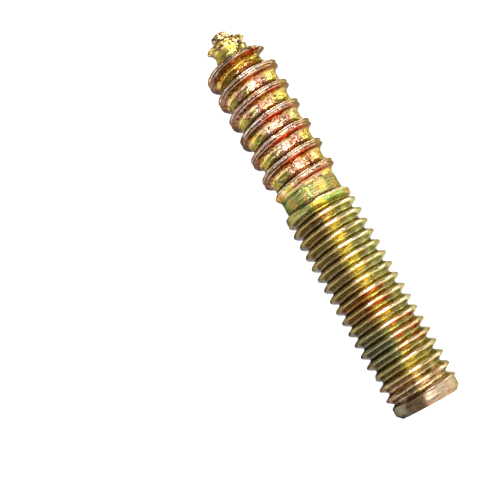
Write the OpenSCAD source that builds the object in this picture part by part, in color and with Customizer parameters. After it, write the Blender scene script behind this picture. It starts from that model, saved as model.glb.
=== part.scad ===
// Hanger bolt: a wood screw thread at one end and a machine thread at the
// other, rolled on one piece of steel wire. It stands on the end of its
// machine thread, tip up, with the axis along Z. Sizes are in millimetres.

/* [Overall] */
// Whole length, from the flat end to the torn tip
bolt_l = 35; // [32:0.5:50]

/* [Machine thread] */
// Diameter over the thread crests
stud_d = 5.95; // [5.6:0.05:6.4]
// Diameter at the bottom of the thread grooves
stud_root_d = 4.85; // [4.5:0.05:4.9]
// Distance from one crest to the next
stud_pitch = 1; // [0.9:0.05:1.25]
// Width of a crest under its rounded edges
stud_crest_w = 0.3; // [0.16:0.02:0.32]
// Depth of the rounding on each crest
stud_round = 0.06; // [0.03:0.01:0.1]
// Length of this end, from the flat end to its last crest
stud_l = 18; // [14:0.2:20]
// Diameter of the broad last crest, next to the shank
ring_d = 5.74; // [5.3:0.02:5.9]
// Width of the broad last crest
ring_w = 0.75; // [0.5:0.05:1]
// Diameter of the plain collar at the flat end
collar_d = 5.6; // [5.2:0.05:5.9]
// Length of the plain collar
collar_l = 1.3; // [0.8:0.05:2]
// Bevel round the flat end
bevel = 0.38; // [0.1:0.01:0.6]

/* [Wood thread] */
// Diameter over the ridges
screw_d = 6.05; // [5.6:0.05:6.6]
// Diameter of the core between the ridges
core_d = 4.84; // [4.5:0.02:5.1]
// Distance from one ridge to the next
screw_pitch = 1.9; // [1.7:0.05:2.4]
// Width of a ridge at its crest
ridge_w = 0.5; // [0.3:0.02:0.6]
// Width of a ridge where it meets the core
ridge_foot_w = 1.3; // [1:0.02:1.5]
// Depth of the rolling seam along the crest
seam_depth = 0.09; // [0.04:0.01:0.15]

/* [Tip] */
// Diameter of the neck above the first ridge
neck_d = 2.85; // [2.4:0.05:3.4]
// Diameter of the torn ring round the neck
burr_d = 3.25; // [2.9:0.05:3.8]
// How far the torn ring reaches out at its flake
flake_l = 0.22; // [0.1:0.02:0.4]
// Diameter of the nib where the wire broke off
nib_d = 1.5; // [1:0.05:2]
// How far the nib sits to one side of the axis
nib_shift = 0.22; // [0:0.02:0.4]

/* [Hidden] */
$fn = 72;
// Straight pieces in one turn of each thread
stud_steps = 32;
screw_steps = 36;
// How deep the feet of the ridges are set into the core
sunk = 0.12;
stud_r = stud_d / 2;
stud_root_r = stud_root_d / 2;
screw_r = screw_d / 2;
core_r = core_d / 2;
neck_r = neck_d / 2;
burr_r = burr_d / 2;
nib_r = nib_d / 2;
// The flanks of the machine thread lean at 30 degrees, and neighbouring turns stay apart
stud_depth = stud_r - stud_round - stud_root_r + sunk;
stud_foot_w = min(stud_pitch * 0.96, stud_crest_w + 2 * stud_depth * tan(30));

// Heights above the flat end
stud_first_z = 0.8;
stud_last_z = stud_l;
ring_z = stud_l - 0.38;
screw_low_z = stud_l + 1.6;
screw_top_z = bolt_l - 2;
// Heights at which one ridge of each thread passes the front of the bolt
stud_front_z = 16.95;
screw_front_z = bolt_l - 3.28;

// Smooth step from 0 to 1 as x goes from a to b
function ease(a, b, x) =
    let (t = max(0, min(1, (x - a) / (b - a))))
    t * t * (3 - 2 * t);

// Radius of the core at height z: the wire swells from the neck to the core
function core_at(z) =
    neck_r + (core_r - neck_r) * ease(0, 3.4, bolt_l - 1.9 - z);

// How much of its full height the wood ridge has at height z
function ridge_share(z) =
    (0.02 + 0.98 * ease(0, 1.5, screw_top_z - z)) * ease(-0.2, 1, z - screw_low_z);

// How much of its full height the machine thread has at height z
function stud_share(z) =
    ease(-0.5, 0.55, z - stud_first_z) * ease(-0.35, 0.5, stud_last_z - z);

// One corner of a ridge: its angle, radius and height
function on_helix(turn, radius, z) = [radius * cos(turn), radius * sin(turn), z];

// Cross-section of the wood ridge where its middle is at height z
function wood_section(turn, z) =
    let (
        share = ridge_share(z),
        root = core_at(z),
        high = root + (screw_r - root) * share + (share < 0.05 ? -0.06 : 0),
        half = ridge_w / 2,
        foot = ridge_foot_w / 2,
        mid = half + (foot - half) * 0.36,
        deep = root - sunk,
        waist = root + (high - root) * 0.42,
        seam = high - seam_depth * share
    )
    [
        on_helix(turn, deep, z - foot),
        on_helix(turn, waist, z - mid),
        on_helix(turn, high, z - half),
        on_helix(turn, seam, z),
        on_helix(turn, high, z + half),
        on_helix(turn, waist, z + mid),
        on_helix(turn, deep, z + foot)
    ];

// Cross-section of the machine thread where its middle is at height z
function stud_section(turn, z) =
    let (
        share = stud_share(z),
        high = stud_root_r + (stud_r - stud_root_r + 0.04) * share - 0.04,
        deep = stud_root_r - sunk,
        foot = stud_foot_w / 2,
        grown = (high - deep) / (stud_r - deep),
        brow = high - stud_round * grown,
        half = foot + (stud_crest_w / 2 - foot) * grown
    )
    [
        on_helix(turn, deep, z - foot),
        on_helix(turn, brow, z - half),
        on_helix(turn, high, z - half * 0.5),
        on_helix(turn, high, z + half * 0.5),
        on_helix(turn, brow, z + half),
        on_helix(turn, deep, z + foot)
    ];

// Joins cross-sections along a thread into one closed solid
module sweep(sections) {
    corners = len(sections[0]);
    last = len(sections) - 1;
    points = [for (section = sections) for (point = section) point];
    sides = [
        for (i = [0 : last - 1])
        for (j = [0 : corners - 1])
        let (
            a = i * corners + j,
            b = i * corners + (j + 1) % corners
        )
        each [[a, b, b + corners], [a, b + corners, a + corners]]
    ];
    caps = [
        [for (j = [corners - 1 : -1 : 0]) j],
        [for (j = [0 : corners - 1]) last * corners + j]
    ];
    polyhedron(points = points, faces = concat(sides, caps));
}

// Ridge of the wood thread, right-handed, from the shank to the neck
module wood_ridge() {
    start = floor((screw_low_z - screw_front_z) / screw_pitch * screw_steps);
    stop = floor((screw_top_z - screw_front_z) / screw_pitch * screw_steps);
    sweep([
        for (i = [start : stop])
        let (
            turn = 270 + i * 360 / screw_steps,
            z = screw_front_z + i * screw_pitch / screw_steps
        )
        wood_section(turn, z)
    ]);
}

// Ridge of the machine thread, right-handed, from the collar to the shank
module stud_ridge() {
    start = floor((stud_first_z - stud_front_z) / stud_pitch * stud_steps);
    stop = floor((stud_last_z - stud_front_z) / stud_pitch * stud_steps);
    sweep([
        for (i = [start : stop])
        let (
            turn = 270 + i * 360 / stud_steps,
            z = stud_front_z + i * stud_pitch / stud_steps
        )
        stud_section(turn, z)
    ]);
}

// Turned outline of the bolt without its ridges
module core() {
    swell = [
        for (i = [0 : 10])
        let (z = bolt_l - 5.3 + i * 0.34)
        [core_at(z), z]
    ];
    rotate_extrude()
        polygon(concat(
            [
                [0, 0],
                [collar_d / 2 - bevel, 0],
                [collar_d / 2, bevel],
                [collar_d / 2, collar_l - 0.25],
                [stud_root_r, collar_l],
                [stud_root_r, ring_z - 0.1],
                [ring_d / 2, ring_z + 0.15],
                [ring_d / 2, ring_z + ring_w - 0.15],
                [core_r + 0.05, ring_z + ring_w + 0.1],
                [core_r + 0.05, screw_low_z - 0.2],
                [core_r, screw_low_z + 0.2]
            ],
            swell,
            [
                [neck_r, bolt_l - 1.3],
                [0, bolt_l - 1.3]
            ]
        ));
}

// How far the torn metal reaches out in one direction, as a share of its usual radius
function tear(turn) =
    0.93 + 0.04 * sin(3 * turn + 20) + 0.035 * sin(7 * turn) + 0.025 * sin(11 * turn + 50);

// Outline of the torn ring: rough all round, with a flake on one side
function ring_edge(turn) =
    let (reach = burr_r * tear(turn) + flake_l * pow(max(0, cos(turn - 188)), 14))
    [reach * cos(turn), reach * sin(turn)];

// Outline of the nib
function nib_edge(turn) =
    let (reach = nib_r * (tear(turn + 70) + 0.05))
    [reach * cos(turn), reach * sin(turn)];

// Torn ring and nib where the wire was pinched off
module torn_tip() {
    translate([-0.06, 0, bolt_l - 1.12])
        linear_extrude(height = 0.22, scale = 0.86)
            polygon([for (i = [0 : 39]) ring_edge(i * 9)]);
    translate([-0.06, 0, bolt_l - 1.12])
        mirror([0, 0, 1])
            linear_extrude(height = 0.38, scale = 0.84)
                polygon([for (i = [0 : 39]) ring_edge(-i * 9)]);
    translate([-nib_shift, 0.04, bolt_l - 1.05])
        linear_extrude(height = 0.7)
            polygon([for (i = [0 : 23]) nib_edge(i * 15)]);
    translate([-nib_shift, 0.04, bolt_l - 0.35])
        linear_extrude(height = 0.35, scale = 0.6)
            polygon([for (i = [0 : 23]) nib_edge(i * 15)]);
}

module hanger_bolt() {
    color("goldenrod")
        union() {
            core();
            torn_tip();
            wood_ridge();
            stud_ridge();
        }
}

hanger_bolt();
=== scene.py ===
import math

import bmesh
import bpy
import numpy as np
from mathutils import Matrix, Vector


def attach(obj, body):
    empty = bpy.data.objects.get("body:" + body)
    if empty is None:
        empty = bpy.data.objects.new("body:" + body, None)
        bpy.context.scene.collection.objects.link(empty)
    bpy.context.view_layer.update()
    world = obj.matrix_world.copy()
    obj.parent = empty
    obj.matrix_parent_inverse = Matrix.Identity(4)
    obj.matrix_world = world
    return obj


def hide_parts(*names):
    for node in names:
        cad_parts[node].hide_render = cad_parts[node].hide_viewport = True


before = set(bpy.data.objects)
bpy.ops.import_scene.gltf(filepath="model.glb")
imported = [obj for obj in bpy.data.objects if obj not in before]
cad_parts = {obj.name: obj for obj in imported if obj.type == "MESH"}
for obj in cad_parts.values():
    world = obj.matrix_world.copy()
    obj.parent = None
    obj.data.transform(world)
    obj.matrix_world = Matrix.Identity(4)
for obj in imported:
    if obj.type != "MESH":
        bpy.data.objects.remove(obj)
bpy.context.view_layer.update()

mm = 0.001


def easeBetween(low, high, value):
    # 0 at low, 1 at high, with soft ends
    t = np.clip((value - low) / (high - low), 0.0, 1.0)
    return t * t * (3.0 - 2.0 * t)


def bell(value, middle, width):
    # 1 in the middle, falling away on both sides
    return np.exp(-((value - middle) / width) ** 2)


def facing(angle, heading):
    # 1 where the surface looks along the heading, which is in degrees round the bolt
    return np.cos(angle - np.radians(heading))


def roundBolt(angle, radius):
    return np.cos(angle) * radius, np.sin(angle) * radius


def linearColour(red, green, blue):
    # colours are written as they look on screen
    def one(c):
        return c / 12.92 if c <= 0.04045 else ((c + 0.055) / 1.055) ** 2.4
    return (one(red), one(green), one(blue), 1.0)


def latticeValue(ix, iy, iz, seed):
    # a fixed scramble of whole numbers, from -1 to 1
    n = (ix * 374761393 + iy * 668265263 + iz * 2147483647 + seed * 974634777) & 0xFFFFFFFF
    n = ((n ^ (n >> 13)) * 1274126177) & 0xFFFFFFFF
    n = n ^ (n >> 16)
    return (n & 0xFFFF) / 65535.0 * 2.0 - 1.0


def roughNoise(x, y, z, size, seed):
    # smooth bumps between -1 and 1, about one bump for each length of size
    x, y, z = x / size, y / size, z / size
    fx, fy, fz = np.floor(x), np.floor(y), np.floor(z)
    tx, ty, tz = x - fx, y - fy, z - fz
    tx, ty, tz = (t * t * (3.0 - 2.0 * t) for t in (tx, ty, tz))
    ix, iy, iz = (f.astype(np.int64) for f in (fx, fy, fz))
    total = 0.0
    for dx in (0, 1):
        for dy in (0, 1):
            for dz in (0, 1):
                weight = (tx if dx else 1 - tx) * (ty if dy else 1 - ty) * (tz if dz else 1 - tz)
                total = total + weight * latticeValue(ix + dx, iy + dy, iz + dz, seed)
    return total


# The bolt is one skin wound along its threads. Lengths are in millimetres,
# heights count from the machine end and sizes of round parts are radii.
bolt = {
    "length": 35.0,
    "collar": 2.8, "collarLength": 1.3, "collarSlope": 0.25, "bevel": 0.38,
    # machine thread, with the height at which it passes the front of the bolt
    "studCrest": 2.975, "studRoot": 2.425, "studPitch": 1.0,
    "studCrestWidth": 0.10, "studShoulder": 0.26, "studRound": 0.06, "flankAngle": 30,
    "studLow": 0.8, "studTop": 18.0, "studFront": 16.95, "studFade": 0.3,
    # broad low crest that ends the machine thread, and the shank above it
    "ring": 2.87, "ringLow": 17.62, "ringHigh": 18.37, "ringFoot": 0.1, "ringRound": 0.15,
    "shank": 2.47, "shankBlend": 0.2,
    # wood thread
    "screwCrest": 3.025, "screwCore": 2.42, "screwPitch": 1.9,
    "ridgeWidth": 0.5, "ridgeFoot": 1.3, "seamDepth": 0.12,
    "screwLow": 19.6, "screwTop": 33.0, "screwFront": 31.72,
    "ridgeLow": 18.9, "coreLow": 18.3, "coreTop": 28.5,
    # the core swells from the neck, and the tip above it is a list of depths and radii
    "neck": 1.425, "neckDepth": 1.9, "neckSwell": 3.4,
    "tipOutline": [(1.72, 1.425), (1.42, 1.425), (1.18, 1.6), (0.98, 1.35), (0.9, 0.85),
                   (0.7, 0.7), (0.4, 0.75), (0.15, 0.6375), (0.0, 0.375)],
    "neckShift": -0.09, "nibShift": (-0.16, 0.05),
    # rows and columns of the skin; rows crowd together near the crests
    "columns": 96, "rowsEachPitch": 36, "crowding": 0.5, "turnsBelow": -18.2, "turnsAbove": 13.0,
}

# unevenness from the rolling dies, each as an amount and a size of bump
rolling = {
    "noiseRadius": 2.7,
    "studWander": (0.012, 0.9), "studSeam": (0.03, 1.3), "studSeamWidth": 0.06,
    "crestWear": (0.02, 1.6), "fineCrestWear": (0.012, 0.35),
    "ridgeSway": (0.03, 2.2), "fineRidgeSway": (0.015, 0.6),
    "lipWidth": 0.085, "lipOffset": 0.02, "lipBumps": (0.03, 0.5),
    "wornHeading": 10, "worn": 0.14, "fullLift": 0.56,
}

# torn, pitted and knocked places: headings in degrees, heights and depths in millimetres
wear = {
    "tornDepth": (1.45, 1.2), "nibDepth": (0.95, 0.75), "coarseSize": 0.42, "fineSize": 0.17,
    "crumbHeading": 338, "crumbDepth": (2.3, 1.8, 0.7, 0.95), "crumbAmount": 0.10,
    "burrDepth": 1.12, "burrWidth": 0.13, "flakeHeading": 190, "flakeReach": 0.26,
    "pitHeading": 318, "pitLow": (30.4, 31.2), "pitHigh": (33.2, 32.4), "pitAmount": 0.07,
    "raggedHeight": 18.0, "raggedWidth": 0.4, "raggedAmount": 0.05,
    "slotHeight": 18.26, "slotWidth": 0.09, "slotHeading": 254, "slotDepth": 0.16,
    "scratchLow": (18.3, 18.7), "scratchHigh": (20.3, 19.7), "scratchAmount": 0.02,
    "knockHeading": 185, "knocks": [(3.75, 0.24, 0.2), (1.5, 0.3, 0.08)],
    "turnedHigh": (1.35, 1.15), "turnedAmount": 0.012, "turnedDepth": 0.008,
}


def plainRadius(z):
    # outline of the bolt without its threads
    b = bolt
    top, foot, rounding = b["length"], b["ringFoot"], b["ringRound"]
    outline = [
        (0, b["collar"] - b["bevel"]), (b["bevel"], b["collar"]),
        (b["collarLength"] - b["collarSlope"], b["collar"]), (b["collarLength"], b["studRoot"]),
        (b["ringLow"] - foot, b["studRoot"]), (b["ringLow"] + rounding, b["ring"]),
        (b["ringHigh"] - rounding, b["ring"]), (b["ringHigh"] + foot, b["shank"]),
        (b["screwLow"] - b["shankBlend"], b["shank"]),
        (b["screwLow"] + b["shankBlend"], b["screwCore"]), (b["coreTop"], b["screwCore"]),
    ]
    body = np.interp(z, *zip(*outline))
    swell = easeBetween(0, b["neckSwell"], top - b["neckDepth"] - z)
    swell = b["neck"] + (b["screwCore"] - b["neck"]) * swell
    radius = np.where(z < b["coreTop"], body, np.minimum(swell, b["screwCore"]))
    tipOutline = b["tipOutline"]
    tip = np.interp(z, *zip(*[(top - depth, size) for depth, size in tipOutline]))
    return np.where(z > top - tipOutline[0][0], tip, radius)


def windingHeight(phase):
    # turns counted up the bolt: one turn climbs the pitch of the thread that is there
    b = bolt
    farTurns = 40.0
    studEnd = b["studTop"] + b["studFade"]
    screwStart = b["screwLow"] + 0.1
    studTurns = studEnd - b["studFront"]
    screwTurns = (screwStart - b["screwFront"]) / b["screwPitch"]
    firstScrew = math.ceil(studTurns - screwTurns + 0.7)
    turnPlaces = [-farTurns, studTurns, firstScrew + screwTurns, firstScrew + farTurns]
    heights = [b["studFront"] - farTurns * b["studPitch"], studEnd,
               screwStart, b["screwFront"] + farTurns * b["screwPitch"]]
    return np.interp(phase, turnPlaces, heights)


def windSkin():
    b = bolt
    columns, rows = b["columns"], b["rowsEachPitch"]
    turnsLow, turnsHigh = b["turnsBelow"], b["turnsAbove"]
    while windingHeight(turnsHigh - 1.0) < b["length"]:
        turnsHigh += 1.0
    rowLow, rowHigh = int(turnsLow * rows) - rows, int(turnsHigh * rows) + rows
    row = np.arange(rowLow, rowHigh + 1)[:, None]
    column = np.arange(columns)[None, :]
    climb = row / rows - b["crowding"] * np.sin(2 * np.pi * row / rows) / (2 * np.pi)
    z = np.clip(windingHeight(climb + column / columns), 0.0, b["length"])
    turn = np.broadcast_to(column / columns, z.shape)
    angle = np.radians(270.0) + turn * 2 * np.pi
    # distance from the middle of the nearest ridge, as a part of one pitch
    fraction = np.broadcast_to(climb - np.round(climb), z.shape)
    return z, angle, fraction, row


def studRidge(z, angle, fraction):
    # machine thread: straight flanks, a narrow crest, fading at both ends
    b, r = bolt, rolling
    x, y = roundBolt(angle, r["noiseRadius"])
    amount, size = r["studWander"]
    offset = fraction * b["studPitch"] + amount * roughNoise(x, y, z, size, 3)
    share = easeBetween(-0.5, 0.55, z - b["studLow"]) * easeBetween(-0.35, 0.5, b["studTop"] - z)
    depth = b["studCrest"] - b["studRoot"]
    crest, shoulder, rounding = b["studCrestWidth"] / 2, b["studShoulder"] / 2, b["studRound"]
    footAt = shoulder + (depth - rounding) * math.tan(math.radians(b["flankAngle"]))
    flank = np.interp(np.abs(offset), [0, crest, shoulder, footAt],
                      [depth, depth, depth - rounding, 0]) / depth
    amount, size = r["studSeam"]
    seam = amount * (0.2 + 0.9 * roughNoise(x, y, z, size, 7)) * bell(offset, 0, r["studSeamWidth"])
    flank = flank - seam / depth * (flank > 0.8)
    worn = 0
    for (amount, size), seed in ((r["crestWear"], 5), (r["fineCrestWear"], 6)):
        worn = worn + amount * np.clip(roughNoise(x, y, z, size, seed), 0, 1)
    onStud = z < b["studTop"] + b["studFade"]
    radius = b["studRoot"] + (depth - worn) * flank * share
    return np.where(onStud, radius, 0.0), share * onStud


def screwRidge(z, angle, fraction, root):
    # wood thread: hollow flanks and a double-lipped crest, as it comes from the rolling dies
    b, r = bolt, rolling
    x, y = roundBolt(angle, r["noiseRadius"])
    share = easeBetween(0, 1.5, b["screwTop"] - z) * easeBetween(-0.2, 1.0, z - b["screwLow"])
    sway = 0
    for (amount, size), seed in ((r["ridgeSway"], 11), (r["fineRidgeSway"], 12)):
        sway = sway + amount * roughNoise(x, y, z, size, seed)
    offset = fraction * b["screwPitch"] + sway
    half, foot = b["ridgeWidth"] / 2, b["ridgeFoot"] / 2
    waist = half + (foot - half) * 0.36
    profile = np.interp(np.abs(offset), [0, half * 0.9, half, waist, foot * 0.93, foot * 1.06],
                        [1, 1, 0.96, 0.40, 0.045, 0.0])
    lips = b["seamDepth"] * (0.75 + 0.5 * roughNoise(x, y, z, 1.1, 14))
    lips = lips * bell(offset, r["lipOffset"], r["lipWidth"])
    amount, size = r["lipBumps"]
    lips += amount * np.clip(roughNoise(x, y, z, size, 15), 0, 1) * (profile > 0.9)
    core = np.where(z > b["coreLow"], root, 0.0)
    worn = r["worn"] * easeBetween(0.2, 1.0, facing(angle, r["wornHeading"]))
    tall = b["screwCrest"] - core - worn
    onScrew = z > b["ridgeLow"]
    radius = core + tall * profile * share - lips * share * (profile > 0.5)
    return np.where(onScrew, radius, 0.0)


def wearAndTear(z, angle, radius):
    b, w = bolt, wear
    x, y = roundBolt(angle, radius)
    depth = b["length"] - z
    # torn ring where the wire was pinched off: crumbly on the right, a flake on the left
    torn = easeBetween(*w["tornDepth"], depth)
    nib = easeBetween(*w["nibDepth"], depth)
    coarse = roughNoise(x, y, z, w["coarseSize"], 21)
    fine = roughNoise(x, y, z, w["fineSize"], 22)
    side = easeBetween(0.2, 0.95, facing(angle, w["crumbHeading"]))
    startLow, endLow, startHigh, endHigh = w["crumbDepth"]
    crumbly = side * easeBetween(startLow, endLow, depth) * easeBetween(startHigh, endHigh, depth)
    radius = radius + torn * (0.10 + 0.05 * nib) * coarse
    radius = radius + (torn * 0.06 + crumbly * w["crumbAmount"]) * fine
    flake = easeBetween(0.75, 1.0, facing(angle, w["flakeHeading"]))
    burr = bell(depth, w["burrDepth"], w["burrWidth"])
    radius = radius + burr * (w["flakeReach"] * flake - 0.08 + 0.08 * side)
    # pits on the near side of the first ridges
    pitted = easeBetween(0.3, 0.95, facing(angle, w["pitHeading"]))
    pitted = pitted * easeBetween(*w["pitLow"], z) * easeBetween(*w["pitHigh"], z)
    radius = radius + pitted * (w["pitAmount"] * fine - 0.03)
    # broad first crest of the machine thread, ragged where the rolls let go
    ragged = bell(z, w["raggedHeight"], w["raggedWidth"])
    radius = radius + ragged * w["raggedAmount"] * roughNoise(x, y, z, 0.6, 31)
    slot = bell(z, w["slotHeight"], w["slotWidth"])
    slot = slot * easeBetween(0.93, 0.99, facing(angle, w["slotHeading"]))
    radius = radius - w["slotDepth"] * slot
    # plain shank keeps the wire's scratches
    plain = easeBetween(*w["scratchLow"], z) * easeBetween(*w["scratchHigh"], z)
    radius = radius + plain * w["scratchAmount"] * roughNoise(x, y, z * 3, 0.8, 32)
    # knocked crests near the collar
    knock = 0
    for height, width, amount in w["knocks"]:
        knock = knock + bell(z, height, width) * amount
    knock = knock * bell(facing(angle, w["knockHeading"]), 1, 0.06)
    radius = radius - knock * np.clip((radius - 2.6) / 0.3, 0, 1)
    # collar keeps faint turned lines and a soft edge
    turned = w["turnedAmount"] * roughNoise(x, y, z * 6, 1.2, 41) - w["turnedDepth"]
    radius = radius + easeBetween(*w["turnedHigh"], z) * turned
    return np.where(z <= 0.0001, np.minimum(radius, b["collar"] - b["bevel"]), radius)


# where the film changed colour, and where shade, highlight and sheen are painted: headings in
# degrees round the bolt, heights in millimetres
film = {
    "redScrew": 286, "redScrewBack": 120, "redStud": 278, "redStudLow": 304, "redStudBack": 95,
    "redLowTop": 7.2, "redSpots": [(5.8, 1.1, 2.2), (9.2, 1.3, 0.9)],
    "dusk": 205, "rosyMiddle": 277, "yellowStud": 283, "yellowBack": 110,
    "yellowSpots": [(8.6, 2.2, 0.55), (2.8, 1.2, 0.5)],
    "amber": 228, "amberSpots": [(9.3, 1.1, 1.0), (16.0, 1.0, 0.5)],
    "amberFront": 264, "amberBlotch": (2.4, 0.9), "slate": 232, "slateSpot": (5.6, 1.3),
    "green": 340, "crumbs": 330, "stain": 253, "stainWidth": (30, 17), "stainLean": 8,
}


def redShare(z, angle):
    # where the film went red, from side to side of the bolt
    f = film
    x, y = roundBolt(angle, 2.6)
    wood = easeBetween(0.72, 0.95, facing(angle, f["redScrew"]))
    wood = wood + easeBetween(0.5, 0.9, facing(angle, f["redScrewBack"]))
    wood = wood * np.clip(0.75 + 0.9 * roughNoise(x, y, z, 1.5, 51), 0, 1)
    heading = np.where(z < f["redLowTop"], f["redStudLow"], f["redStud"])
    spots = easeBetween(0.80, 0.96, facing(angle, heading))
    spots = spots + easeBetween(0.7, 0.95, facing(angle, f["redStudBack"]))
    strong = sum(amount * bell(z, height, width) for height, width, amount in f["redSpots"])
    stud = spots * np.clip(strong + 0.5 * roughNoise(x, y, z, 2.1, 52), 0.12, 1)
    return np.clip(np.where(z > bolt["studTop"], wood, stud), 0, 1)


def paintedShadeShare(z, angle):
    # painted shade: the left side of the bolt, towards the dark screen of the room, is painted
    # browner and duller
    return easeBetween(0.48, 0.68, facing(angle, film["dusk"]))


def lemonSheenShare(z, angle):
    # painted sheen: grooves of the wood thread are greenish lemon on both sides of a rosy middle
    # that faces the front; the machine thread is painted lemon-yellow on the front right towards
    # the lamps, and at the back, in spots
    f = film
    x, y = roundBolt(angle, 2.6)
    sheenSide = np.abs(np.sin(angle - np.radians(f["rosyMiddle"])))
    wood = easeBetween(0.42, 0.62, sheenSide + 0.25 * roughNoise(x, y, z, 1.6, 61))
    turned = facing(angle, f["yellowStud"]) + 0.10 * roughNoise(x, y, z, 1.2, 62)
    stud = easeBetween(0.84, 0.96, turned) + easeBetween(0.5, 0.8, facing(angle, f["yellowBack"]))
    strong = sum(amount * bell(z, height, width) for height, width, amount in f["yellowSpots"])
    drift = 0.5 * roughNoise(*roundBolt(angle, 1.0), z, 1.7, 63)
    stud = stud * np.clip(0.5 + strong + drift, 0, 1)
    return np.where(z > bolt["studTop"] + bolt["studFade"], wood, stud)


def amberShare(z, angle):
    # browner film on the dull side of the machine thread, and a blotch low in front
    f = film
    left = easeBetween(0.62, 0.85, facing(angle, f["amber"]))
    spots = left * sum(amount * bell(z, height, width) for height, width, amount in f["amberSpots"])
    front = easeBetween(0.80, 0.96, facing(angle, f["amberFront"]))
    blotch = np.clip(0.5 + 1.2 * roughNoise(*roundBolt(angle, 2.6), z, 0.8, 66), 0, 1)
    return np.clip(spots + front * blotch * bell(z, *f["amberBlotch"]), 0, 1)


def slateShare(z, angle):
    # greyer film further down on the same side
    return easeBetween(0.55, 0.80, facing(angle, film["slate"])) * bell(z, *film["slateSpot"])


def greenHighlightShare(z, angle):
    # painted highlight: right of the lemon the flanks are painted pale green
    drift = 0.15 * roughNoise(*roundBolt(angle, 2.6), z, 1.4, 64)
    right = easeBetween(0.55, 0.85, facing(angle, film["green"]) + drift)
    return right * np.clip(0.8 + 0.6 * roughNoise(*roundBolt(angle, 1.0), z, 3.0, 65), 0, 1)


def crumbShare(z, angle):
    # crumbly burr and pits on the near side of the tip and the first ridges
    depth = bolt["length"] - z
    near = easeBetween(0.62, 0.95, facing(angle, film["crumbs"]))
    ring = easeBetween(1.85, 1.6, depth) * (0.75 + 0.25 * near)
    ring = ring + near * easeBetween(2.3, 1.9, depth)
    return np.clip(near * easeBetween(31.0, 31.8, z) + ring, 0, 1)


def stainShare(z, angle):
    # a dark stain across the collar, left of the middle
    f = film
    drift = 14 * roughNoise(*roundBolt(angle, 2.6), z, 0.7, 71) - f["stainLean"] * (z - 0.8)
    return easeBetween(*f["stainWidth"], np.abs(np.degrees(angle) % 360 - f["stain"] + drift))


def skinFaces(z, columns, rows):
    # a row carries on into the row one pitch higher when it has gone once round
    count = z.shape[0]
    i = np.arange(count - 1)[:, None]
    j = np.arange(columns)[None, :]
    here = i * columns + j
    above = (i + 1) * columns + j
    nextHere = np.where(j < columns - 1, here + 1, (i + rows) * columns)
    nextAbove = np.where(j < columns - 1, above + 1, (i + 1 + rows) * columns)
    keep = (i + 1 + rows < count) & np.ones_like(j, bool)
    quads = np.stack([here, nextHere, nextAbove, above], -1)[keep]
    # rows that lie wholly below the foot or above the tip have no surface
    high = z.reshape(-1)[quads]
    flat = (high.max(1) <= 0.0) | (high.min(1) >= bolt["length"])
    return quads[~flat]


def makeBolt():
    b = bolt
    z, angle, fraction, row = windSkin()
    root = plainRadius(z)
    stud, studShare = studRidge(z, angle, fraction)
    radius = np.maximum(root, np.maximum(stud, screwRidge(z, angle, fraction, root)))
    lift = np.clip((radius - root) / rolling["fullLift"], 0, 1)
    radius = wearAndTear(z, angle, radius)
    radius = np.minimum(radius, np.where(z > 18.6, b["screwCrest"], b["studCrest"]))
    x, y = roundBolt(angle, radius)
    # the neck and the nib sit a little to one side, as the wire tore
    onNeck = easeBetween(b["length"] - 1.8, b["length"] - 1.5, z)
    onNib = easeBetween(b["length"] - 1.0, b["length"] - 0.7, z)
    x = x + b["neckShift"] * onNeck + b["nibShift"][0] * onNib
    y = y + b["nibShift"][1] * onNib
    points = np.stack([x, y, z], -1).reshape(-1, 3)
    quads = skinFaces(z, b["columns"], b["rowsEachPitch"])

    mesh = bpy.data.meshes.new("hangerBolt")
    mesh.from_pydata((points * mm).tolist(), [], quads.tolist())
    across = fraction * np.where(z > b["studTop"] + 0.6, b["screwPitch"], b["studPitch"])
    turns = np.floor((row + b["rowsEachPitch"] / 2) / b["rowsEachPitch"])
    marks = {
        "lift": lift, "flankSide": np.sign(fraction) * np.clip(np.abs(fraction) * 4, 0, 1),
        "screwPart": easeBetween(19.3, 20.0, z), "studPart": np.clip(studShare, 0, 1),
        "acrossRidge": across, "alongLine": across + turns * 0.37, "heightPart": z,
    }
    for name, share in (("redPart", redShare), ("lemonPart", lemonSheenShare), ("greenPart", greenHighlightShare),
                        ("stainPart", stainShare), ("amberPart", amberShare),
                        ("slatePart", slateShare), ("crumbPart", crumbShare),
                        ("duskPart", paintedShadeShare)):
        marks[name] = share(z, angle)
    for name, values in marks.items():
        layer = mesh.attributes.new(name, "FLOAT", "POINT")
        flatValues = np.ascontiguousarray(values.reshape(-1), dtype=np.float32)
        layer.data.foreach_set("value", flatValues)
    closeEnds(mesh)
    piece = bpy.data.objects.new("hangerBolt", mesh)
    bpy.context.collection.objects.link(piece)
    print("bolt skin:", len(mesh.vertices), "points,", len(mesh.polygons), "faces")
    return piece


def closeEnds(mesh):
    nearEnough = 2e-7
    skin = bmesh.new()
    skin.from_mesh(mesh)
    bmesh.ops.remove_doubles(skin, verts=skin.verts, dist=nearEnough)
    loose = [v for v in skin.verts if not v.link_faces]
    bmesh.ops.delete(skin, geom=loose, context="VERTS")
    for height in (0.0, bolt["length"] * mm):
        rim = [e for e in skin.edges
               if e.is_boundary and all(abs(v.co.z - height) < 1e-7 for v in e.verts)]
        if rim:
            made = bmesh.ops.edgeloop_fill(skin, edges=rim)["faces"]
            bmesh.ops.poke(skin, faces=made)
    bmesh.ops.recalc_face_normals(skin, faces=skin.faces)
    for face in skin.faces:
        face.smooth = True
    skin.to_mesh(mesh)
    skin.free()


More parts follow.
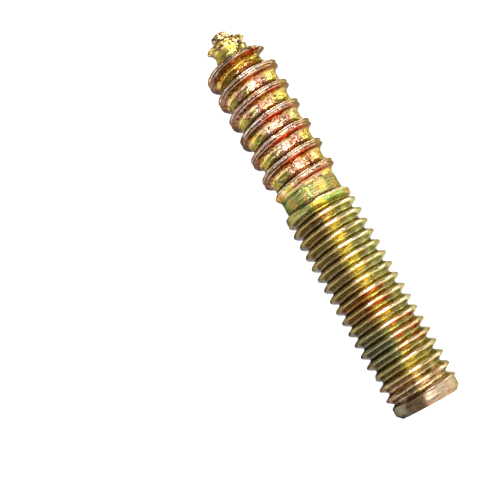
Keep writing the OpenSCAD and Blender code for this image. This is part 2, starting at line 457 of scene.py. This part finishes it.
# yellow chromate over zinc: tints as they look on screen, then sizes and strengths
chromate = {
    "gold": (0.72, 0.58, 0.32), "olive": (0.56, 0.54, 0.25), "lemon": (0.76, 0.74, 0.28),
    "rose": (0.78, 0.58, 0.50), "cream": (0.94, 0.88, 0.85), "brown": (0.25, 0.18, 0.13),
    "flame": (0.72, 0.22, 0.08), "mauve": (0.68, 0.54, 0.44), "green": (0.54, 0.64, 0.34),
    "orange": (0.80, 0.54, 0.26), "rustAndShade": (0.42, 0.26, 0.15), "khaki": (0.50, 0.43, 0.28),
    "amber": (0.60, 0.38, 0.14), "yellow": (0.80, 0.73, 0.24), "moss": (0.64, 0.67, 0.42),
    "straw": (0.82, 0.76, 0.36), "stain": (0.24, 0.14, 0.11), "blushHighlight": (0.90, 0.78, 0.68),
    "russet": (0.56, 0.36, 0.22), "deepRose": (0.72, 0.46, 0.42), "slate": (0.42, 0.45, 0.37),
    "edge": (0.30, 0.22, 0.15), "rim": (0.66, 0.62, 0.36), "pearl": (0.68, 0.61, 0.51),
    "peach": (0.88, 0.74, 0.62),
    "patchSize": 0.8, "drawnOut": 0.45, "alongThread": 0.55, "acrossThread": 6.0,
    "roughness": (0.10, 0.21), "collarDull": 0.14, "neckDull": 0.18, "flankDull": 0.10,
    "gloss": 0.16, "glossRoughness": 0.08, "glossIndex": 1.45,
    "powder": 0.28, "bump": 0.35, "bumpReach": 0.00012,
}

# heights between which each part of the film, and the painted highlight on the ring's edge, begins
# and ends
chromateBands = {
    "onCollar": [(1.5, 1.2)], "onFirstTurns": [(3.3, 1.9)], "onStrokes": [(3.0, 2.2)],
    "belowRing": [(17.5, 17.2)], "onRing": [(17.45, 17.65), (18.4, 18.3)],
    "onRingEdge": [(18.02, 18.14)], "onShank": [(18.2, 18.4), (19.9, 19.5)],
    "onFirstRidges": [(30.6, 31.0)], "onTip": [(32.6, 33.0)],
    "onNeck": [(32.75, 32.9), (33.35, 33.15)], "onNib": [(33.7, 34.0)],
}

skinMarks = ("lift", "flankSide", "screwPart", "studPart", "acrossRidge", "alongLine", "heightPart",
             "redPart", "lemonPart", "greenPart", "stainPart", "amberPart", "slatePart",
             "crumbPart", "duskPart")


class NodeBench:
    # short ways to place and join shader nodes
    def __init__(self, tree):
        self.tree = tree

    def add(self, kind, **values):
        node = self.tree.nodes.new(kind)
        for name, value in values.items():
            setattr(node, name, value)
        return node

    def join(self, source, target):
        self.tree.links.new(source, target)

    def feed(self, socket, value):
        if hasattr(value, "is_output"):
            self.join(value, socket)
        else:
            socket.default_value = value

    def math(self, operation, first, second=0.0, clamp=False):
        node = self.add("ShaderNodeMath", operation=operation, use_clamp=clamp)
        self.feed(node.inputs[0], first)
        self.feed(node.inputs[1], second)
        return node.outputs[0]

    def both(self, *values):
        total = values[0]
        for value in values[1:]:
            total = self.math("MULTIPLY", total, value)
        return total

    def either(self, first, second):
        return self.math("MAXIMUM", first, second)

    def without(self, value):
        return self.math("SUBTRACT", 1.0, value)

    def spread(self, value, low, high, toLow=0.0, toHigh=1.0):
        node = self.add("ShaderNodeMapRange", interpolation_type="SMOOTHSTEP")
        for name, item in (("Value", value), ("From Min", low), ("From Max", high),
                           ("To Min", toLow), ("To Max", toHigh)):
            self.feed(node.inputs[name], item)
        return node.outputs["Result"]

    def blend(self, amount, first, second):
        node = self.add("ShaderNodeMix", data_type="RGBA")
        self.feed(node.inputs[0], amount)
        self.feed(node.inputs[6], first)
        self.feed(node.inputs[7], second)
        return node.outputs[2]

    def noise(self, place, size, detail=3.0, roughness=0.55, warp=0.0):
        node = self.add("ShaderNodeTexNoise")
        self.join(place, node.inputs["Vector"])
        node.inputs["Scale"].default_value = size
        node.inputs["Detail"].default_value = detail
        node.inputs["Roughness"].default_value = roughness
        node.inputs["Distortion"].default_value = warp
        return node.outputs["Fac"]

    def read(self, name):
        return self.add("ShaderNodeAttribute", attribute_name=name).outputs["Fac"]


def tint(name):
    return linearColour(*chromate[name])


def readMarks(bench):
    # what each point of the skin says about itself
    m = {name: bench.read(name) for name in skinMarks}
    for name, ends in chromateBands.items():
        m[name] = bench.both(*[bench.spread(m["heightPart"], *pair) for pair in ends])
    m["down"] = bench.spread(m["flankSide"], -0.20, -0.60)  # flanks that look to the machine end
    m["up"] = bench.spread(m["flankSide"], 0.20, 0.60)      # flanks that look to the tip
    m["crest"] = bench.spread(m["lift"], 0.80, 0.96)
    m["groove"] = bench.spread(m["lift"], 0.25, 0.08)
    # painted highlight and shade: the pale lines are kept to the front and painted duller towards
    # both sides of the bolt
    sides = bench.math("ADD", bench.both(m["duskPart"], 0.80), bench.both(m["greenPart"], 0.40))
    m["inFront"] = bench.without(sides)
    return m


def makePatterns(bench, m):
    c, p = chromate, {}
    inMillimetres = bench.add("ShaderNodeVectorMath", operation="SCALE")
    bench.join(bench.add("ShaderNodeTexCoord").outputs["Object"], inMillimetres.inputs[0])
    inMillimetres.inputs["Scale"].default_value = 1 / mm
    spot = inMillimetres.outputs[0]
    drawn = bench.add("ShaderNodeVectorMath", operation="MULTIPLY")
    bench.join(spot, drawn.inputs[0])
    drawn.inputs[1].default_value = (1.0, 1.0, c["drawnOut"])
    longSpot = drawn.outputs[0]
    # a pattern drawn out along the thread, as rolling leaves it
    axes = bench.add("ShaderNodeSeparateXYZ")
    bench.join(spot, axes.inputs[0])
    thread = bench.add("ShaderNodeCombineXYZ")
    bench.join(bench.both(axes.outputs[0], c["alongThread"]), thread.inputs[0])
    bench.join(bench.both(axes.outputs[1], c["alongThread"]), thread.inputs[1])
    bench.join(bench.both(m["alongLine"], c["acrossThread"]), thread.inputs[2])
    lay = thread.outputs[0]
    # drifting patches of tint
    p["patch"] = bench.noise(longSpot, c["patchSize"], 1.5, 0.5, 0.3)
    p["other"] = bench.noise(longSpot, c["patchSize"] * 1.3, 1.5, 0.5, 0.3)
    p["third"] = bench.noise(longSpot, c["patchSize"] * 1.1 + 0.13, 1.5, 0.5, 0.3)
    p["small"] = bench.noise(spot, 2.4, 3.0, 0.6, 0.4)
    p["blot"] = bench.noise(longSpot, 1.5, 1.0, 0.5, 0.2)
    p["otherBlot"] = bench.noise(longSpot, 1.9, 1.0, 0.5, 0.2)
    p["cloud"] = bench.noise(spot, 0.7, 1.0)
    # lines along the thread, from broad to fine
    p["streak"] = bench.noise(lay, 0.9, 2.0, 0.5, 0.2)
    p["scratched"] = bench.noise(lay, 0.9, 3.0, 0.65, 1.3)
    p["lines"] = bench.noise(lay, 1.6, 3.0, 0.6)
    # specks and pits, which come in clusters with smoother film between them
    p["speck"] = bench.noise(spot, 3.2, 3.0, 0.6)
    p["fineSpeck"] = bench.noise(spot, 6.0, 3.0, 0.6)
    p["pits"] = bench.noise(spot, 3.2, 1.2, 0.5)
    p["cluster"] = bench.spread(bench.noise(spot, 0.9, 1.0), 0.44, 0.56, 0.2, 1.0)
    p["satin"] = bench.noise(spot, 2.2, 4.0, 0.6)
    return p


def paintedPaleFlank(bench, m, p):
    # painted highlight: flanks of the machine thread that look to the tip are painted pale near the
    # crest, as if lit from above
    return bench.both(m["up"], bench.spread(m["lift"], 0.66, 0.84),
                      bench.spread(p["streak"], 0.30, 0.50, 0.5, 0.95), m["inFront"])


def studFilm(bench, m, p):
    both, spread, blend = bench.both, bench.spread, bench.blend
    lift, stud, up, down = m["lift"], m["studPart"], m["up"], m["down"]
    plain = blend(spread(p["patch"], 0.40, 0.58), tint("gold"), tint("olive"))
    plain = blend(spread(p["other"], 0.46, 0.60), plain, tint("lemon"))
    plain = blend(spread(p["third"], 0.54, 0.66, 0.0, 0.5), plain, tint("rose"))
    plain = blend(spread(p["other"], 0.45, 0.35, 0.0, 0.7), plain, tint("green"))
    plain = blend(spread(p["lines"], 0.50, 0.40, 0.0, 0.5), plain, tint("khaki"))
    # painted highlight: lemon-yellow where the sheen share is high
    yellow = both(m["lemonPart"], stud, spread(p["lines"], 0.36, 0.48, 0.4, 0.95))
    plain = blend(yellow, plain, tint("yellow"))
    # painted highlight: pale moss green on the right side
    plain = blend(both(m["greenPart"], stud, 0.75), plain, tint("moss"))
    # painted highlight: cream and peach on the pale flanks
    paleHighlightTint = blend(spread(p["other"], 0.44, 0.56), tint("cream"), tint("peach"))
    plain = blend(both(paintedPaleFlank(bench, m, p), stud), plain, paleHighlightTint)
    # a painted highlight as a pale line low on the flank, and brown groove bottoms
    rootHighlight = both(down, stud, spread(lift, 0.02, 0.10), spread(lift, 0.30, 0.18))
    plain = blend(both(rootHighlight, 0.8), plain, tint("cream"))
    grooves = both(stud, m["belowRing"], spread(m["heightPart"], 1.7, 2.4, 0.3, 1.0))
    plain = blend(both(grooves, spread(lift, 0.06, 0.0), 0.5), plain, tint("brown"))
    plain = blend(both(up, grooves, spread(lift, 0.72, 0.50), 0.35), plain, tint("brown"))
    bright = both(stud, spread(lift, 0.90, 0.75), spread(p["lines"], 0.52, 0.62, 0.0, 0.6))
    plain = blend(bright, plain, tint("straw"))
    # painted highlight: peach and cream on the crests, towards the front
    crestHighlightTint = blend(spread(p["third"], 0.46, 0.54), tint("peach"), tint("cream"))
    crestHighlight = both(m["crest"], stud, spread(p["streak"], 0.62, 0.40, 0.25, 0.85), m["inFront"])
    plain = blend(crestHighlight, plain, crestHighlightTint)
    # khaki as painted shade on the left side, with amber and grey film in spots on the same side
    plain = blend(both(m["duskPart"], stud, 0.7), plain, tint("khaki"))
    notPale = bench.without(bench.either(up, m["crest"]))
    plain = blend(both(m["amberPart"], notPale, 0.8), plain, tint("amber"))
    plain = blend(both(m["slatePart"], 0.6), plain, tint("slate"))
    # the first turns above the collar are rosier, with dark strokes
    firstTint = blend(spread(p["third"], 0.46, 0.54), tint("mauve"), tint("peach"))
    firstTurns = both(m["onFirstTurns"], spread(p["streak"], 0.40, 0.50, 0.25, 0.75))
    plain = blend(firstTurns, plain, firstTint)
    strokes = both(m["onStrokes"], spread(p["lines"], 0.46, 0.40, 0.0, 0.7))
    return blend(strokes, plain, tint("stain"))


def screwFilm(bench, m, p):
    both, spread, blend = bench.both, bench.spread, bench.blend
    lift, screw, groove, sheenSide = m["lift"], m["screwPart"], m["groove"], m["lemonPart"]
    warm = blend(spread(p["small"], 0.40, 0.60), tint("rose"), tint("gold"))
    warm = blend(spread(p["patch"], 0.55, 0.62, 0.0, 0.8), warm, tint("lemon"))
    warm = blend(spread(p["third"], 0.46, 0.38, 0.0, 0.7), warm, tint("green"))
    warm = blend(spread(p["other"], 0.50, 0.58, 0.0, 0.85), warm, tint("peach"))
    warm = blend(spread(p["other"], 0.44, 0.38, 0.0, 0.8), warm, tint("orange"))
    # painted sheen in the grooves: greenish at the sides, rosy in the middle, with sharp-edged
    # spots of film
    greenish = blend(spread(p["small"], 0.48, 0.66), tint("straw"), tint("green"))
    warm = blend(both(groove, sheenSide, 0.75), warm, greenish)
    rosy = blend(spread(p["patch"], 0.42, 0.56), tint("blushHighlight"), tint("deepRose"))
    middle = both(groove, bench.without(sheenSide))
    warm = blend(both(middle, 0.6), warm, rosy)
    for spots, name in ((spread(p["blot"], 0.56, 0.59, 0.0, 0.6), "russet"),
                        (spread(p["blot"], 0.40, 0.37, 0.0, 0.7), "straw"),
                        (spread(p["otherBlot"], 0.57, 0.60, 0.0, 0.6), "deepRose")):
        warm = blend(both(middle, spots), warm, tint(name))
    sideSpots = spread(p["otherBlot"], 0.57, 0.60, 0.0, 0.5)
    warm = blend(both(groove, sheenSide, sideSpots), warm, tint("orange"))
    # crests: brownish mauve with pale lines, and painted highlight in gold on the lit side
    crest = both(spread(lift, 0.70, 0.90), screw)
    warm = blend(both(crest, spread(p["streak"], 0.66, 0.42, 0.25, 0.85)), warm, tint("mauve"))
    warm = blend(both(crest, spread(p["lines"], 0.50, 0.60), 0.8), warm, tint("cream"))
    paintedLitSide = both(sheenSide, bench.without(m["duskPart"]))
    warm = blend(both(crest, paintedLitSide, 0.5), warm, tint("gold"))
    # painted shade: flanks that look to the machine end are painted a dark rusty brown
    return blend(both(m["down"], screw, spread(lift, 0.12, 0.40), 0.8), warm, tint("rustAndShade"))


def tipFilm(bench, m, p, colour):
    both, spread, blend = bench.both, bench.spread, bench.blend
    golden = blend(spread(p["small"], 0.46, 0.60), tint("straw"), tint("orange"))
    firstRidges = both(m["onFirstRidges"], spread(m["lift"], 0.75, 0.45))
    colour = blend(both(bench.either(m["onTip"], firstRidges), 0.85), colour, golden)
    # the neck below the torn ring is smooth and a duller lemon
    neckTint = blend(spread(p["other"], 0.47, 0.55), tint("lemon"), tint("gold"))
    colour = blend(both(m["onNeck"], 0.8), colour, neckTint)
    nibSpots = both(m["onNib"], spread(p["small"], 0.52, 0.44, 0.0, 0.7))
    return blend(nibSpots, colour, tint("peach"))


def redFilm(bench, m, p, colour):
    # red on the lower flanks, and on both flanks of the machine thread
    both, spread = bench.both, bench.spread
    stud, lift = m["studPart"], m["lift"]
    high = bench.either(spread(lift, 0.34, 0.52), both(stud, spread(lift, 0.02, 0.16)))
    flanks = bench.either(m["down"], both(m["up"], stud, 0.45))
    red = both(flanks, m["redPart"], spread(p["streak"], 0.34, 0.52), high)
    return bench.blend(red, colour, tint("flame"))


def collarFilm(bench, m, p, colour):
    # the collar is greyer and rosier than the thread
    both, spread, blend = bench.both, bench.spread, bench.blend
    dull = blend(spread(p["other"], 0.44, 0.56), tint("mauve"), tint("pearl"))
    dull = blend(spread(p["cloud"], 0.50, 0.40, 0.0, 0.3), dull, tint("rustAndShade"))
    # painted shade: slate grey on the left side of the collar
    dull = blend(both(m["duskPart"], 0.8), dull, tint("slate"))
    dull = blend(both(m["stainPart"], 0.9), dull, tint("stain"))
    return blend(both(m["onCollar"], 0.9), colour, dull)


def shankFilm(bench, m, p, colour):
    # the plain shank is olive and green, scratched across
    both, spread, blend = bench.both, bench.spread, bench.blend
    scratched = p["scratched"]
    shank = blend(spread(scratched, 0.42, 0.58), tint("olive"), tint("green"))
    shank = blend(spread(p["other"], 0.50, 0.56), shank, tint("gold"))
    shank = blend(spread(scratched, 0.58, 0.66, 0.0, 0.7), shank, tint("cream"))
    shank = blend(spread(scratched, 0.46, 0.40, 0.0, 0.75), shank, tint("brown"))
    shank = blend(0.25, shank, tint("olive"))
    colour = blend(both(m["onShank"], 0.9), colour, shank)
    # the broad crest below it is lemon and orange, with a painted pale highlight on its upper edge
    ring = blend(spread(p["third"], 0.44, 0.56), tint("lemon"), tint("orange"))
    ring = blend(spread(p["patch"], 0.52, 0.60), ring, tint("green"))
    # painted shade: moss green on the left side of the ring
    ring = blend(both(m["duskPart"], 0.8), ring, tint("moss"))
    # painted highlight: blush on the upper edge of the ring, away from the left side
    edge = both(m["onRingEdge"], spread(p["streak"], 0.36, 0.50, 0.3, 1.0))
    ring = blend(both(edge, bench.without(m["duskPart"])), ring, tint("blushHighlight"))
    return blend(both(m["onRing"], 0.8), colour, ring)


def darkMarks(bench, m, p, colour):
    both, spread, blend = bench.both, bench.spread, bench.blend
    lift, screw, brown = m["lift"], m["screwPart"], tint("brown")
    # rolled lines, and the twin line along the crest of the wood thread
    rolled = both(spread(p["lines"], 0.43, 0.33, 0.0, 0.6), bench.without(m["onTip"]))
    colour = blend(rolled, colour, brown)
    bent = bench.math("ADD", m["acrossRidge"], both(bench.math("SUBTRACT", p["small"], 0.5), 0.14))
    fromTwin = bench.math("SUBTRACT", bench.math("ABSOLUTE", bent), 0.13)
    twin = spread(bench.math("ABSOLUTE", fromTwin), 0.06, 0.02)
    colour = blend(both(twin, screw, spread(lift, 0.6, 0.8), 0.6), colour, brown)
    # specks on the machine thread, pits in the grooves of the wood thread
    specked = bench.without(both(bench.either(screw, m["onTip"]), 0.8))
    colour = blend(both(spread(p["fineSpeck"], 0.64, 0.72, 0.0, 0.4), specked), colour, brown)
    pitted = both(screw, spread(lift, 0.25, 0.05), p["cluster"], spread(p["speck"], 0.60, 0.65))
    colour = blend(both(pitted, 0.75), colour, brown)
    # crumbs of the torn tip: dark pits, and bright faces as painted glints
    crumbs = m["crumbPart"]
    colour = blend(both(crumbs, spread(p["speck"], 0.50, 0.55, 0.0, 0.95)), colour, brown)
    return blend(both(crumbs, spread(p["speck"], 0.45, 0.40, 0.0, 0.85)), colour, tint("blushHighlight"))


def makeChromate():
    c = chromate
    material = bpy.data.materials.new("yellowChromate")
    material.use_nodes = True
    tree = material.node_tree
    tree.nodes.clear()
    bench = NodeBench(tree)
    both, spread = bench.both, bench.spread
    shader = bench.add("ShaderNodeBsdfPrincipled")
    output = bench.add("ShaderNodeOutputMaterial")
    bench.join(shader.outputs[0], output.inputs["Surface"])
    m = readMarks(bench)
    p = makePatterns(bench, m)

    colour = bench.blend(m["screwPart"], studFilm(bench, m, p), screwFilm(bench, m, p))
    for addFilm in (tipFilm, redFilm, collarFilm, shankFilm, darkMarks):
        colour = addFilm(bench, m, p, colour)
    bench.join(colour, shader.inputs["Base Color"])

    # the flanks under the painted pale highlight, the flanks that look to the machine end next to
    # the crest, and the neck are partly powdery
    thick = bench.either(paintedPaleFlank(bench, m, p), both(m["down"], spread(m["lift"], 0.92, 0.80)))
    powder = bench.either(both(thick, m["studPart"]), m["onNeck"])
    bench.join(bench.without(both(powder, c["powder"])), shader.inputs["Metallic"])
    # painted shade: the edge tint of reflections is a darker brown on the left side
    rim = bench.blend(m["duskPart"], tint("rim"), tint("edge"))
    bench.join(rim, shader.inputs["Specular Tint"])
    shader.inputs["Coat Weight"].default_value = c["gloss"]
    shader.inputs["Coat Roughness"].default_value = c["glossRoughness"]
    shader.inputs["Coat IOR"].default_value = c["glossIndex"]
    satin = spread(p["satin"], 0.35, 0.65, *c["roughness"])
    satin = bench.math("ADD", satin, both(m["onCollar"], c["collarDull"]))
    satin = bench.math("ADD", satin, both(m["onNeck"], c["neckDull"]))
    satin = bench.math("ADD", satin, both(m["down"], m["studPart"], c["flankDull"]))
    bench.join(satin, shader.inputs["Roughness"])

    # pits, rolled grain and the scratches of the shank
    pitDepth = bench.math("ADD", 0.25, both(m["screwPart"], p["cluster"], 1.6))
    smooth = both(m["onTip"], bench.without(m["crumbPart"]))
    relief = both(spread(p["pits"], 0.66, 0.50), pitDepth, bench.without(smooth))
    relief = bench.math("ADD", relief, both(p["lines"], 0.6))
    scratches = both(bench.either(m["onShank"], m["onRing"]), p["scratched"], 3.0)
    relief = bench.math("ADD", relief, scratches)
    bump = bench.add("ShaderNodeBump")
    bump.inputs["Strength"].default_value = c["bump"]
    bump.inputs["Distance"].default_value = c["bumpReach"]
    bench.join(relief, bump.inputs["Height"])
    bench.join(bump.outputs[0], shader.inputs["Normal"])
    return material


# pale floor and backdrop, room and lamps, in metres and watts
studio = {
    "floorReach": 5.0, "bendStart": 0.33, "floorBend": 0.20, "bendSteps": 12, "wallHeight": 0.9,
    "floorPaint": 0.9, "floorGlow": 0.70,
    "roomDark": 0.24, "roomBright": 0.42, "screenHeading": 58, "screenHalf": (18, 32),
    "aimHeight": 0.018,
    "frontPlace": (0.045, -0.25, 0.075), "frontSize": (0.09, 0.12), "frontPower": 0.34,
    "keyPlace": (0.12, -0.20, 0.18), "keySize": (0.10, 0.10), "keyPower": 0.45,
    "sidePlace": (0.26, 0.02, 0.10), "sideSize": (0.12, 0.12), "sidePower": 0.25,
    "topPlace": (0.03, 0.17, 0.22), "topSize": (0.16, 0.16), "topPower": 0.32,
}


def makeSweep():
    # floor that sweeps up into a backdrop behind the bolt
    s = studio
    bend, start, reach, steps = s["floorBend"], s["bendStart"], s["floorReach"], s["bendSteps"]
    line = [(-reach, 0.0), (start, 0.0)]
    for k in range(1, steps + 1):
        a = math.radians(90 * k / steps)
        line.append((start + bend * math.sin(a), bend - bend * math.cos(a)))
    line.append((start + bend, s["wallHeight"]))
    points = [(x, y, z) for x in (-reach, reach) for y, z in line]
    n = len(line)
    faces = [(k, n + k, n + k + 1, k + 1) for k in range(n - 1)]
    mesh = bpy.data.meshes.new("sweep")
    mesh.from_pydata(points, [], faces)
    for polygon in mesh.polygons:
        polygon.use_smooth = True
    sweep = bpy.data.objects.new("sweep", mesh)
    bpy.context.collection.objects.link(sweep)

    material = bpy.data.materials.new("paleSweep")
    material.use_nodes = True
    tree = material.node_tree
    tree.nodes.clear()
    bench = NodeBench(tree)
    paper = bench.add("ShaderNodeBsdfDiffuse")
    paper.inputs["Color"].default_value = (s["floorPaint"], s["floorPaint"], s["floorPaint"], 1)
    # it glows only to the camera, and in and through shiny things
    glow = bench.add("ShaderNodeEmission")
    path = bench.add("ShaderNodeLightPath")
    seen = bench.math("ADD", path.outputs["Is Camera Ray"], path.outputs["Is Glossy Ray"], True)
    seen = bench.math("ADD", seen, path.outputs["Is Transmission Ray"], True)
    bench.join(bench.both(seen, s["floorGlow"]), glow.inputs["Strength"])
    together = bench.add("ShaderNodeAddShader")
    bench.join(paper.outputs[0], together.inputs[0])
    bench.join(glow.outputs[0], together.inputs[1])
    output = bench.add("ShaderNodeOutputMaterial")
    bench.join(together.outputs[0], output.inputs["Surface"])
    sweep.data.materials.append(material)
    return sweep


def makeRoom():
    # a pale room with one dark screen to the left
    s = studio
    world = bpy.data.worlds.new("softRoom")
    bpy.context.scene.world = world
    world.use_nodes = True
    room = NodeBench(world.node_tree)
    split = room.add("ShaderNodeSeparateXYZ")
    room.join(room.add("ShaderNodeTexCoord").outputs["Generated"], split.inputs[0])
    # measured round from straight ahead of the bolt, less than zero on the left
    heading = room.math("ARCTAN2", split.outputs["X"], room.both(split.outputs["Y"], -1.0))
    turned = room.math("ADD", heading, math.radians(s["screenHeading"]))
    fromScreen = room.math("ABSOLUTE", turned)
    near, far = (math.radians(a) for a in s["screenHalf"])
    level = room.spread(fromScreen, near, far, s["roomDark"], s["roomBright"])
    room.join(level, world.node_tree.nodes["Background"].inputs["Color"])


def addLamp(name, place, size, power):
    data = bpy.data.lights.new(name, "AREA")
    data.shape = "RECTANGLE"
    data.size, data.size_y = size
    data.energy = power
    lamp = bpy.data.objects.new(name, data)
    lamp.location = place
    lamp.rotation_mode = "QUATERNION"
    aim = Vector((0, 0, studio["aimHeight"]))
    lamp.rotation_quaternion = (Vector(place) - aim).to_track_quat("Z", "Y")
    bpy.context.collection.objects.link(lamp)


# the camera, turned as the photograph was taken: metres, degrees and millimetres of lens
view = {
    "place": (0.0, -0.085, 0.003), "swing": -4.415, "climb": 9.788, "roll": -28.745,
    "lens": 76.33, "sensor": 36, "nearest": 0.002,
}


def makeCamera():
    v = view
    swing, climb, roll = (math.radians(v[k]) for k in ("swing", "climb", "roll"))
    flat = math.cos(climb)
    ahead = Vector((math.sin(swing) * flat, math.cos(swing) * flat, math.sin(climb)))
    level = Vector((math.cos(swing), -math.sin(swing), 0))
    upright = level.cross(ahead)
    right = level * math.cos(roll) + upright * math.sin(roll)
    up = upright * math.cos(roll) - level * math.sin(roll)
    data = bpy.data.cameras.new("camera")
    data.lens = v["lens"]
    data.sensor_width = v["sensor"]
    data.clip_start = v["nearest"]
    camera = bpy.data.objects.new("camera", data)
    camera.rotation_mode = "QUATERNION"
    camera.rotation_quaternion = Matrix((right, up, -ahead)).transposed().to_quaternion()
    camera.location = v["place"]
    bpy.context.collection.objects.link(camera)
    bpy.context.scene.camera = camera


print("stage, lamps and camera")
sweep = makeSweep()
makeRoom()
for lampName in ("front", "key", "side", "top"):
    addLamp(lampName, *(studio[lampName + part] for part in ("Place", "Size", "Power")))
makeCamera()
bpy.context.scene.view_settings.view_transform = "Standard"

print("bolt")
hangerBolt = makeBolt()
print("chromate")
hangerBolt.data.materials.append(makeChromate())
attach(hangerBolt, "root")
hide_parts("hanger_bolt")

print("done")
